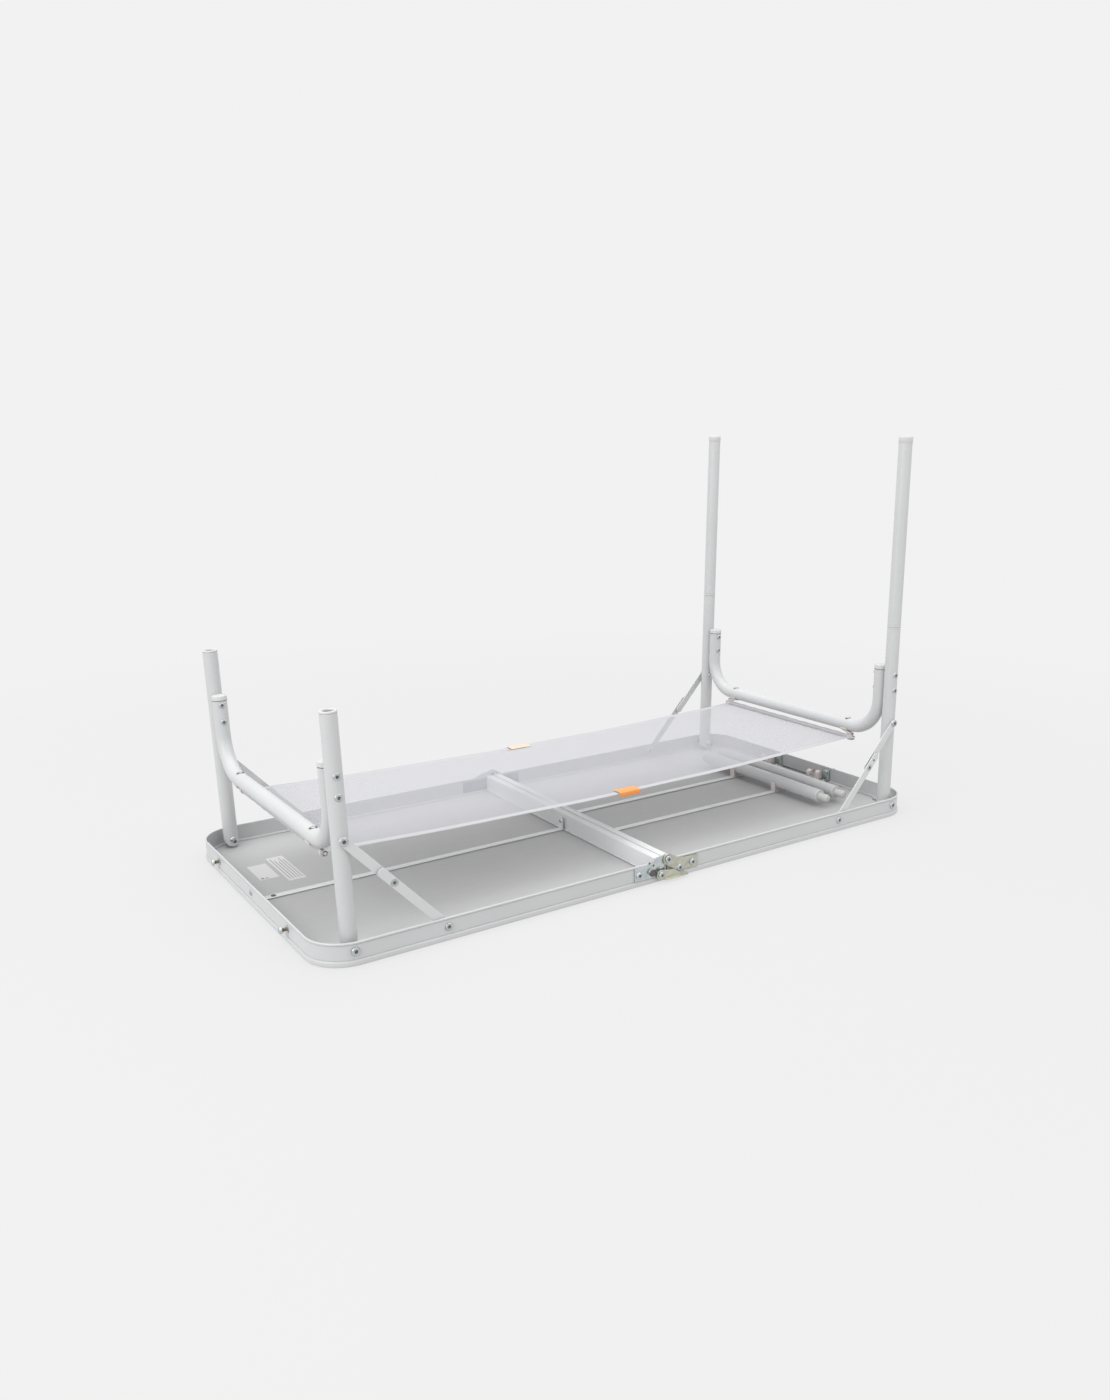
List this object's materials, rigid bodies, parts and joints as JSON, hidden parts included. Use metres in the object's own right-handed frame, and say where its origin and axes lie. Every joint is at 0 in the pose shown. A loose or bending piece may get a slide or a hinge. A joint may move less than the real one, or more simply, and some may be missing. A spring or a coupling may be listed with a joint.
{
  "type": "folding table",
  "caption": "Folding camping table lying on its top: split tabletop with centre hinges, folding leg frames, screw-in leg extensions and a net shelf.",
  "frame": {"origin": "middle of the tabletop's outer face, which lies on the floor at z = 0", "axes": "+Z from the tabletop face towards the legs, X along the table's length with the extended legs at +X, Y along its depth"},
  "size_m": [1.224, 0.6232, 0.722],
  "materials": {
    "frame_white": "satin powder coat",
    "panel_grey": "matt grey backing on board",
    "white_plastic": "moulded",
    "zinc": "bright zinc plate",
    "yellow_zinc": "pale yellow zinc plate",
    "net_fabric": "mesh"
  },
  "bodies": {
    "right_top": {"right_rim": "frame_white", "right_panel": "panel_grey", "right_center_rail": "frame_white", "right_pivot_bolt_front": "zinc", "right_pivot_bolt_rear": "zinc", "right_rib_front": "frame_white", "right_rib_rear": "frame_white", "tube_clip_front": "white_plastic", "tube_clip_rear": "white_plastic", "right_hinge_plate_front": "yellow_zinc", "right_hinge_plate_rear": "yellow_zinc", "hinge_pin_front": "zinc", "hinge_pin_rear": "zinc", "handle_bracket": "zinc", "net_shelf": "net_fabric"},
    "left_top": {"left_rim": "frame_white", "left_panel": "panel_grey", "left_center_rail": "frame_white", "left_pivot_bolt_front": "zinc", "left_pivot_bolt_rear": "zinc", "left_rib": "frame_white", "left_hinge_plate_front": "zinc", "left_hinge_plate_rear": "zinc", "latch_stud_front": "zinc", "latch_stud_rear": "zinc"},
    "left_legs": {"left_leg_front": "frame_white", "left_leg_rear": "frame_white", "left_leg_socket_front": "white_plastic", "left_leg_socket_rear": "white_plastic", "left_u_bar": "frame_white", "left_net_rod": "zinc", "left_net_clip_front": "white_plastic", "left_net_clip_rear": "white_plastic"},
    "right_legs": {"right_leg_front": "frame_white", "right_leg_rear": "frame_white", "right_u_bar": "frame_white", "right_net_rod": "zinc", "right_net_clip_front": "white_plastic", "right_net_clip_rear": "white_plastic"},
    "left_upper_links": {"stay_upper_link_left_front": "frame_white", "stay_upper_link_left_rear": "frame_white"},
    "left_lower_links": {"stay_lower_link_left_front": "frame_white", "stay_lower_link_left_rear": "frame_white"},
    "right_upper_links": {"stay_upper_link_right_front": "frame_white", "stay_upper_link_right_rear": "frame_white"},
    "right_lower_links": {"stay_lower_link_right_front": "frame_white", "stay_lower_link_right_rear": "frame_white"},
    "leg_extension_front": {"extension_tube_leg_front": "frame_white", "foot_cap_leg_front": "white_plastic"},
    "leg_extension_rear": {"extension_tube_leg_rear": "frame_white", "foot_cap_leg_rear": "white_plastic"},
    "stored_extension_1": {"extension_tube_stored_1": "frame_white", "foot_cap_stored_1": "white_plastic"},
    "stored_extension_2": {"extension_tube_stored_2": "frame_white", "foot_cap_stored_2": "white_plastic"},
    "lock_lever_front": {"lock_lever_front": "yellow_zinc"},
    "lock_lever_rear": {"lock_lever_rear": "yellow_zinc"},
    "latch_front": {"latch_front": "zinc"},
    "latch_rear": {"latch_rear": "zinc"},
    "carry_handle": {"carry_handle": "white_plastic"}
  },
  "joints": [
    {"name": "table_fold", "type": "hinge", "parent": "right_top", "child": "left_top", "pos_m": [0, 0, 0.0365], "axis": [0, -1, 0], "range_deg": [-110, 0], "deforming": ["net_shelf"]},
    {"name": "left_leg_fold", "type": "hinge", "parent": "left_top", "child": "left_legs", "pos_m": [-0.547, 0, 0.022], "axis": [0, 1, 0], "range_deg": [0, 91.5], "deforming": ["net_shelf"]},
    {"name": "right_leg_fold", "type": "hinge", "parent": "right_top", "child": "right_legs", "pos_m": [0.547, 0, 0.022], "axis": [0, -1, 0], "range_deg": [0, 86], "deforming": ["net_shelf"]},
    {"name": "left_lower_link_turn", "type": "hinge", "parent": "left_top", "child": "left_lower_links", "pos_m": [-0.4025, 0, 0.0215], "axis": [0, 1, 0], "range_deg": [0, 133.5]},
    {"name": "left_upper_link_turn", "type": "hinge", "parent": "left_legs", "child": "left_upper_links", "pos_m": [-0.55204, 0, 0.18242], "axis": [0, 1, 0], "range_deg": [-137.5, 0]},
    {"name": "right_lower_link_turn", "type": "hinge", "parent": "right_top", "child": "right_lower_links", "pos_m": [0.4025, 0, 0.0215], "axis": [0, -1, 0], "range_deg": [0, 126.2]},
    {"name": "right_upper_link_turn", "type": "hinge", "parent": "right_legs", "child": "right_upper_links", "pos_m": [0.55204, 0, 0.18242], "axis": [0, -1, 0], "range_deg": [-131.7, 0]},
    {"name": "extension_front_out", "type": "slide", "parent": "right_legs", "child": "leg_extension_front", "axis": [0.0314, 0, 0.9995], "range_m": [0, 0.03]},
    {"name": "extension_rear_out", "type": "slide", "parent": "right_legs", "child": "leg_extension_rear", "axis": [0.0314, 0, 0.9995], "range_m": [0, 0.03]},
    {"name": "stored_1_lift", "type": "slide", "parent": "right_top", "child": "stored_extension_1", "axis": [0, 0, 1], "range_m": [0, 0.04]},
    {"name": "stored_2_lift", "type": "slide", "parent": "right_top", "child": "stored_extension_2", "axis": [0, 0, 1], "range_m": [0, 0.04]},
    {"name": "lock_lever_front_turn", "type": "hinge", "parent": "left_top", "child": "lock_lever_front", "pos_m": [-0.017, -0.3055, 0.0135], "axis": [0, -1, 0], "range_deg": [0, 20]},
    {"name": "lock_lever_rear_turn", "type": "hinge", "parent": "left_top", "child": "lock_lever_rear", "pos_m": [-0.017, 0.3055, 0.0135], "axis": [0, -1, 0], "range_deg": [0, 20]},
    {"name": "latch_front_turn", "type": "hinge", "parent": "right_top", "child": "latch_front", "pos_m": [0.6, -0.168, 0.027], "axis": [1, 0, 0], "range_deg": [0, 90]},
    {"name": "latch_rear_turn", "type": "hinge", "parent": "right_top", "child": "latch_rear", "pos_m": [0.6, 0.168, 0.027], "axis": [-1, 0, 0], "range_deg": [0, 90]},
    {"name": "carry_handle_turn", "type": "hinge", "parent": "right_top", "child": "carry_handle", "pos_m": [0.6055, 0, 0.027], "axis": [0, -1, 0], "range_deg": [0, 90]}
  ],
  "couplings": [
    {"joint": "left_lower_link_turn", "follows": "left_leg_fold", "ratio": 1.457},
    {"joint": "left_upper_link_turn", "follows": "left_leg_fold", "ratio": -1.5013},
    {"joint": "right_lower_link_turn", "follows": "right_leg_fold", "ratio": 1.466},
    {"joint": "right_upper_link_turn", "follows": "right_leg_fold", "ratio": -1.5299}
  ]
}
